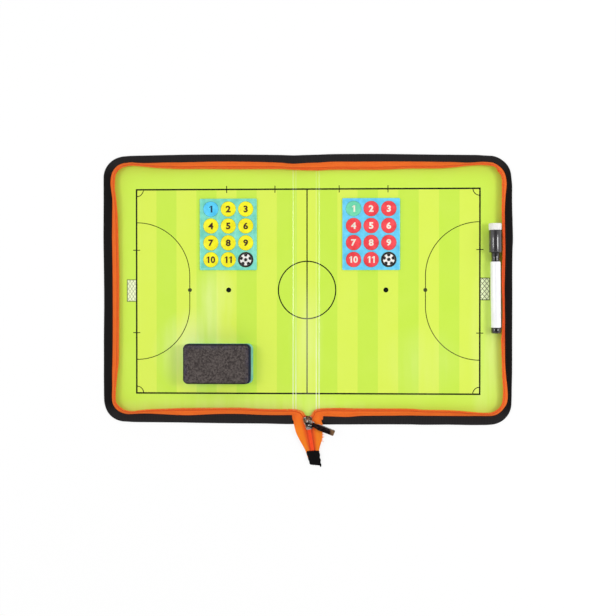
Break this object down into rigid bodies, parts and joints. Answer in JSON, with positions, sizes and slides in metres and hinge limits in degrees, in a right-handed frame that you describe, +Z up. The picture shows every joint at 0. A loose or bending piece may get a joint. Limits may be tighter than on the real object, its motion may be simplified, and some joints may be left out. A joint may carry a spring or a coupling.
{
  "type": "tactics board",
  "caption": "Folding zip-round coach's tactics board with a printed magnetic pitch, numbered magnet discs in punched sheets, a felt eraser and a capped marker.",
  "frame": {"origin": "centre of the open case's outline, on its underside", "axes": "+X along the length of the open case to the half with the marker, +Y to the edge opposite the zip's free tail, +Z up out of the printed pitch"},
  "size_m": [0.533, 0.4066, 0.023],
  "materials": {
    "black_fabric": "woven",
    "board": "matt",
    "steel": "satin",
    "pitch_film": "printed and glossy",
    "orange_fabric": "woven",
    "orange_coil": "satin",
    "slider_metal": "gunmetal",
    "pull_metal": "dark gunmetal",
    "left_sheet": "satin printed",
    "right_sheet": "satin printed",
    "yellow_disc": "satin printed",
    "sky_disc": "satin printed",
    "red_disc": "satin printed",
    "green_disc": "satin printed",
    "ball_disc": "satin printed",
    "foam": "closed-cell foam",
    "felt": "pressed felt",
    "magnet": "matt",
    "white_plastic": "glossy",
    "dark_plastic": "glossy",
    "nib_fibre": "fibre",
    "white_felt": "pressed felt"
  },
  "bodies": {
    "left_half": {"left_cover": "black_fabric", "left_stiffener": "board", "left_steel_sheet": "steel", "left_pitch_film": "pitch_film", "left_edge_binding": "black_fabric", "left_zip_tape": "orange_fabric", "left_zip_coil": "orange_coil"},
    "spine": {"spine_cover": "black_fabric", "spine_stiffener": "board", "spine_pitch_film": "pitch_film", "spine_edge_binding": "black_fabric", "spine_zip_tape": "orange_fabric", "tail_tapes": "orange_fabric", "tail_chain": "orange_coil", "tail_end_tab": "black_fabric"},
    "right_half": {"right_cover": "black_fabric", "right_stiffener": "board", "right_steel_sheet": "steel", "right_pitch_film": "pitch_film", "right_edge_binding": "black_fabric", "right_zip_tape": "orange_fabric", "right_zip_coil": "orange_coil"},
    "slider": {"zip_slider": "slider_metal"},
    "pull": {"zip_pull": "pull_metal"},
    "eraser": {"eraser_foam": "foam", "eraser_felt": "felt", "eraser_magnet": "magnet"},
    "marker": {"marker_barrel": "white_plastic", "marker_end_plug": "dark_plastic", "marker_nib_holder": "dark_plastic", "marker_nib": "nib_fibre", "marker_ink_reservoir": "white_felt"},
    "cap": {"marker_cap": "dark_plastic", "marker_cap_felt": "white_felt"},
    "left_sheet": {"left_magnet_sheet": "left_sheet"},
    "right_sheet": {"right_magnet_sheet": "right_sheet"},
    "left_player_1_disc": {"left_player_1": "sky_disc"},
    "left_player_2_disc": {"left_player_2": "yellow_disc"},
    "left_player_3_disc": {"left_player_3": "yellow_disc"},
    "left_player_4_disc": {"left_player_4": "yellow_disc"},
    "left_player_5_disc": {"left_player_5": "yellow_disc"},
    "left_player_6_disc": {"left_player_6": "yellow_disc"},
    "left_player_7_disc": {"left_player_7": "yellow_disc"},
    "left_player_8_disc": {"left_player_8": "yellow_disc"},
    "left_player_9_disc": {"left_player_9": "yellow_disc"},
    "left_player_10_disc": {"left_player_10": "yellow_disc"},
    "left_player_11_disc": {"left_player_11": "yellow_disc"},
    "left_ball_disc": {"left_ball": "ball_disc"},
    "right_player_1_disc": {"right_player_1": "green_disc"},
    "right_player_2_disc": {"right_player_2": "red_disc"},
    "right_player_3_disc": {"right_player_3": "red_disc"},
    "right_player_4_disc": {"right_player_4": "red_disc"},
    "right_player_5_disc": {"right_player_5": "red_disc"},
    "right_player_6_disc": {"right_player_6": "red_disc"},
    "right_player_7_disc": {"right_player_7": "red_disc"},
    "right_player_8_disc": {"right_player_8": "red_disc"},
    "right_player_9_disc": {"right_player_9": "red_disc"},
    "right_player_10_disc": {"right_player_10": "red_disc"},
    "right_player_11_disc": {"right_player_11": "red_disc"},
    "right_ball_disc": {"right_ball": "ball_disc"}
  },
  "joints": [
    {"name": "spine_fold", "type": "hinge", "parent": "left_half", "child": "spine", "pos_m": [-0.0151, 0, 0.001], "axis": [0, -1, 0], "range_deg": [0, 90]},
    {"name": "cover_fold", "type": "hinge", "parent": "spine", "child": "right_half", "pos_m": [0.0151, 0, 0.001], "axis": [0, -1, 0], "range_deg": [0, 90]},
    {"name": "slider_slide", "type": "slide", "parent": "spine", "child": "slider", "axis": [0.1561, -0.9854, -0.0679], "range_m": [0, 0.016], "deforming": ["tail_chain", "tail_tapes"]},
    {"name": "pull_swing", "type": "hinge", "parent": "slider", "child": "pull", "pos_m": [0.00287, -0.17429, 0.00872], "axis": [-0.3652, -0.9291, -0.0585], "range_deg": [0, 110]},
    {"name": "cap_pull", "type": "slide", "parent": "marker", "child": "cap", "axis": [-0.0129, 0.9998, 0.0142], "range_m": [0, 0.035]},
    {"name": "marker_lift", "type": "slide", "parent": "right_half", "child": "marker", "axis": [0, 0, -1], "range_m": [-0.06, 0]},
    {"name": "eraser_lift", "type": "slide", "parent": "left_half", "child": "eraser", "axis": [0, 0, -1], "range_m": [-0.06, 0]},
    {"name": "left_sheet_lift", "type": "slide", "parent": "left_half", "child": "left_sheet", "axis": [0, 0, -1], "range_m": [-0.06, 0]},
    {"name": "right_sheet_lift", "type": "slide", "parent": "right_half", "child": "right_sheet", "axis": [0, 0, -1], "range_m": [-0.06, 0]},
    {"name": "left_player_1_lift", "type": "slide", "parent": "left_sheet", "child": "left_player_1_disc", "axis": [0, 0, -1], "range_m": [-0.04, 0]},
    {"name": "left_player_2_lift", "type": "slide", "parent": "left_sheet", "child": "left_player_2_disc", "axis": [0, 0, -1], "range_m": [-0.04, 0]},
    {"name": "left_player_3_lift", "type": "slide", "parent": "left_sheet", "child": "left_player_3_disc", "axis": [0, 0, -1], "range_m": [-0.04, 0]},
    {"name": "left_player_4_lift", "type": "slide", "parent": "left_sheet", "child": "left_player_4_disc", "axis": [0, 0, -1], "range_m": [-0.04, 0]},
    {"name": "left_player_5_lift", "type": "slide", "parent": "left_sheet", "child": "left_player_5_disc", "axis": [0, 0, -1], "range_m": [-0.04, 0]},
    {"name": "left_player_6_lift", "type": "slide", "parent": "left_sheet", "child": "left_player_6_disc", "axis": [0, 0, -1], "range_m": [-0.04, 0]},
    {"name": "left_player_7_lift", "type": "slide", "parent": "left_sheet", "child": "left_player_7_disc", "axis": [0, 0, -1], "range_m": [-0.04, 0]},
    {"name": "left_player_8_lift", "type": "slide", "parent": "left_sheet", "child": "left_player_8_disc", "axis": [0, 0, -1], "range_m": [-0.04, 0]},
    {"name": "left_player_9_lift", "type": "slide", "parent": "left_sheet", "child": "left_player_9_disc", "axis": [0, 0, -1], "range_m": [-0.04, 0]},
    {"name": "left_player_10_lift", "type": "slide", "parent": "left_sheet", "child": "left_player_10_disc", "axis": [0, 0, -1], "range_m": [-0.04, 0]},
    {"name": "left_player_11_lift", "type": "slide", "parent": "left_sheet", "child": "left_player_11_disc", "axis": [0, 0, -1], "range_m": [-0.04, 0]},
    {"name": "left_ball_lift", "type": "slide", "parent": "left_sheet", "child": "left_ball_disc", "axis": [0, 0, -1], "range_m": [-0.04, 0]},
    {"name": "right_player_1_lift", "type": "slide", "parent": "right_sheet", "child": "right_player_1_disc", "axis": [0, 0, -1], "range_m": [-0.04, 0]},
    {"name": "right_player_2_lift", "type": "slide", "parent": "right_sheet", "child": "right_player_2_disc", "axis": [0, 0, -1], "range_m": [-0.04, 0]},
    {"name": "right_player_3_lift", "type": "slide", "parent": "right_sheet", "child": "right_player_3_disc", "axis": [0, 0, -1], "range_m": [-0.04, 0]},
    {"name": "right_player_4_lift", "type": "slide", "parent": "right_sheet", "child": "right_player_4_disc", "axis": [0, 0, -1], "range_m": [-0.04, 0]},
    {"name": "right_player_5_lift", "type": "slide", "parent": "right_sheet", "child": "right_player_5_disc", "axis": [0, 0, -1], "range_m": [-0.04, 0]},
    {"name": "right_player_6_lift", "type": "slide", "parent": "right_sheet", "child": "right_player_6_disc", "axis": [0, 0, -1], "range_m": [-0.04, 0]},
    {"name": "right_player_7_lift", "type": "slide", "parent": "right_sheet", "child": "right_player_7_disc", "axis": [0, 0, -1], "range_m": [-0.04, 0]},
    {"name": "right_player_8_lift", "type": "slide", "parent": "right_sheet", "child": "right_player_8_disc", "axis": [0, 0, -1], "range_m": [-0.04, 0]},
    {"name": "right_player_9_lift", "type": "slide", "parent": "right_sheet", "child": "right_player_9_disc", "axis": [0, 0, -1], "range_m": [-0.04, 0]},
    {"name": "right_player_10_lift", "type": "slide", "parent": "right_sheet", "child": "right_player_10_disc", "axis": [0, 0, -1], "range_m": [-0.04, 0]},
    {"name": "right_player_11_lift", "type": "slide", "parent": "right_sheet", "child": "right_player_11_disc", "axis": [0, 0, -1], "range_m": [-0.04, 0]},
    {"name": "right_ball_lift", "type": "slide", "parent": "right_sheet", "child": "right_ball_disc", "axis": [0, 0, -1], "range_m": [-0.04, 0]}
  ]
}
